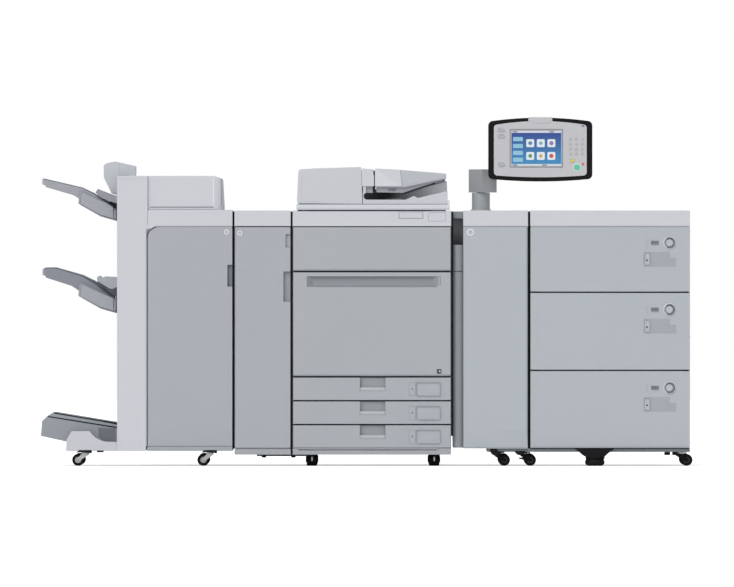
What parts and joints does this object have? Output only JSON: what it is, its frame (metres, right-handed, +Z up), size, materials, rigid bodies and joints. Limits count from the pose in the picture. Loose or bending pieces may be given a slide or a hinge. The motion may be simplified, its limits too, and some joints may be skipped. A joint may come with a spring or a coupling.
{
  "type": "digital production printer",
  "caption": "Row of docked cabinets: sheet finisher with stack trays, buffer unit, print engine with document feeder, pass unit with control panel, and paper deck.",
  "frame": {"origin": "middle of the row's footprint, at floor level, where the casters rest", "axes": "+X along the row from the finisher to the paper deck, +Y from the front covers to the back, +Z up"},
  "size_m": [2.6566, 0.903, 1.42],
  "materials": {
    "pale_cover": "fine matt texture",
    "grey_cover": "fine matt texture",
    "base_grey": "satin paint",
    "tray_grey": "matt",
    "dark_inside": "matt",
    "bare_steel": "zinc plated",
    "platen_glass": "polished",
    "panel_black": "gloss",
    "panel_grey": "satin",
    "wheel_black": "matt"
  },
  "bodies": {
    "cabinets": {"finisher_cabinet": "grey_cover", "finisher_columns": "pale_cover", "delivery_panels": "grey_cover", "delivery_guides": "pale_cover", "finisher_hood": "pale_cover", "exit_head": "pale_cover", "booklet_tray": "tray_grey", "booklet_outriggers": "pale_cover", "buffer_cabinet": "grey_cover", "top_covers": "pale_cover", "base_plinths": "base_grey", "power_inlets": "dark_inside", "engine_core": "dark_inside", "engine_panels": "grey_cover", "drawer_rails": "bare_steel", "reader_frame": "pale_cover", "platen_glass": "platen_glass", "pass_link": "base_grey", "pass_cabinet": "grey_cover", "panel_mast": "base_grey", "deck_panels": "grey_cover", "deck_foot": "panel_black", "caster_forks": "bare_steel", "caster_wheels": "wheel_black"},
    "finisher_door": {"finisher_door": "grey_cover"},
    "upper_stack_tray": {"upper_tray_carriage": "tray_grey", "upper_tray_plate": "tray_grey"},
    "lower_stack_tray": {"lower_tray_carriage": "tray_grey", "lower_tray_plate": "tray_grey"},
    "buffer_door": {"buffer_door": "grey_cover"},
    "toner_cover": {"toner_cover": "grey_cover"},
    "front_door": {"front_door": "grey_cover"},
    "cassette_1": {"cassette_1": "grey_cover"},
    "cassette_2": {"cassette_2": "grey_cover"},
    "cassette_3": {"cassette_3": "grey_cover"},
    "document_feeder": {"platen_lid": "pale_cover", "feed_unit": "dark_inside", "feeder_outlet": "pale_cover"},
    "feeder_cover": {"feeder_cover": "pale_cover"},
    "document_tray": {"document_tray": "pale_cover"},
    "pass_door": {"pass_door": "grey_cover"},
    "panel_arm": {"mast_head": "base_grey"},
    "control_panel": {"panel_housing": "panel_black", "panel_face": "panel_grey"},
    "deck_drawer_1": {"deck_drawer_1": "grey_cover"},
    "deck_drawer_2": {"deck_drawer_2": "grey_cover"},
    "deck_drawer_3": {"deck_drawer_3": "grey_cover"},
    "deck_button_1": {"deck_button_1": "panel_grey"},
    "deck_button_2": {"deck_button_2": "panel_grey"},
    "deck_button_3": {"deck_button_3": "panel_grey"}
  },
  "joints": [
    {"name": "finisher_door_hinge", "type": "hinge", "parent": "cabinets", "child": "finisher_door", "pos_m": [-0.88125, -0.4385, 0.52], "axis": [0, 0, -1], "range_deg": [0, 95]},
    {"name": "upper_tray_lift", "type": "slide", "parent": "cabinets", "child": "upper_stack_tray", "axis": [0, 0, 1], "range_m": [-0.18, 0]},
    {"name": "lower_tray_lift", "type": "slide", "parent": "cabinets", "child": "lower_stack_tray", "axis": [0, 0, 1], "range_m": [-0.4, 0]},
    {"name": "buffer_door_hinge", "type": "hinge", "parent": "cabinets", "child": "buffer_door", "pos_m": [-0.52625, -0.4385, 0.52], "axis": [0, 0, -1], "range_deg": [0, 95]},
    {"name": "toner_cover_hinge", "type": "hinge", "parent": "cabinets", "child": "toner_cover", "pos_m": [0.02175, -0.4385, 0.804], "axis": [1, 0, 0], "range_deg": [0, 90]},
    {"name": "front_door_hinge", "type": "hinge", "parent": "cabinets", "child": "front_door", "pos_m": [0.02175, -0.4385, 0.3755], "axis": [1, 0, 0], "range_deg": [0, 90]},
    {"name": "cassette_1_slide", "type": "slide", "parent": "cabinets", "child": "cassette_1", "axis": [0, -1, 0], "range_m": [0, 0.45]},
    {"name": "cassette_2_slide", "type": "slide", "parent": "cabinets", "child": "cassette_2", "axis": [0, -1, 0], "range_m": [0, 0.45]},
    {"name": "cassette_3_slide", "type": "slide", "parent": "cabinets", "child": "cassette_3", "axis": [0, -1, 0], "range_m": [0, 0.45]},
    {"name": "feeder_lift", "type": "hinge", "parent": "cabinets", "child": "document_feeder", "pos_m": [0.02175, 0.1735, 1.07], "axis": [-1, 0, 0], "range_deg": [0, 60]},
    {"name": "feeder_cover_hinge", "type": "hinge", "parent": "document_feeder", "child": "feeder_cover", "pos_m": [-0.27325, -0.141, 1.079], "axis": [0, -1, 0], "range_deg": [0, 60]},
    {"name": "document_tray_hinge", "type": "hinge", "parent": "document_feeder", "child": "document_tray", "pos_m": [0.04675, -0.141, 1.196], "axis": [0, -1, 0], "range_deg": [0, 40]},
    {"name": "pass_door_hinge", "type": "hinge", "parent": "cabinets", "child": "pass_door", "pos_m": [0.64675, -0.4385, 0.52], "axis": [0, 0, 1], "range_deg": [0, 90]},
    {"name": "panel_swivel", "type": "hinge", "parent": "cabinets", "child": "panel_arm", "pos_m": [0.46675, -0.2985, 1.14], "axis": [0, 0, 1], "range_deg": [-30, 45]},
    {"name": "panel_tilt", "type": "hinge", "parent": "panel_arm", "child": "control_panel", "pos_m": [0.70775, -0.3705, 1.196], "axis": [-1, 0, 0], "range_deg": [-10, 25]},
    {"name": "deck_drawer_1_slide", "type": "slide", "parent": "cabinets", "child": "deck_drawer_1", "axis": [0, -1, 0], "range_m": [0, 0.5]},
    {"name": "deck_drawer_2_slide", "type": "slide", "parent": "cabinets", "child": "deck_drawer_2", "axis": [0, -1, 0], "range_m": [0, 0.5]},
    {"name": "deck_drawer_3_slide", "type": "slide", "parent": "cabinets", "child": "deck_drawer_3", "axis": [0, -1, 0], "range_m": [0, 0.5]},
    {"name": "deck_button_1_press", "type": "slide", "parent": "deck_drawer_1", "child": "deck_button_1", "axis": [0, 1, 0], "range_m": [0, 0.004], "stiffness_N_per_m": 400},
    {"name": "deck_button_2_press", "type": "slide", "parent": "deck_drawer_2", "child": "deck_button_2", "axis": [0, 1, 0], "range_m": [0, 0.004], "stiffness_N_per_m": 400},
    {"name": "deck_button_3_press", "type": "slide", "parent": "deck_drawer_3", "child": "deck_button_3", "axis": [0, 1, 0], "range_m": [0, 0.004], "stiffness_N_per_m": 400}
  ]
}
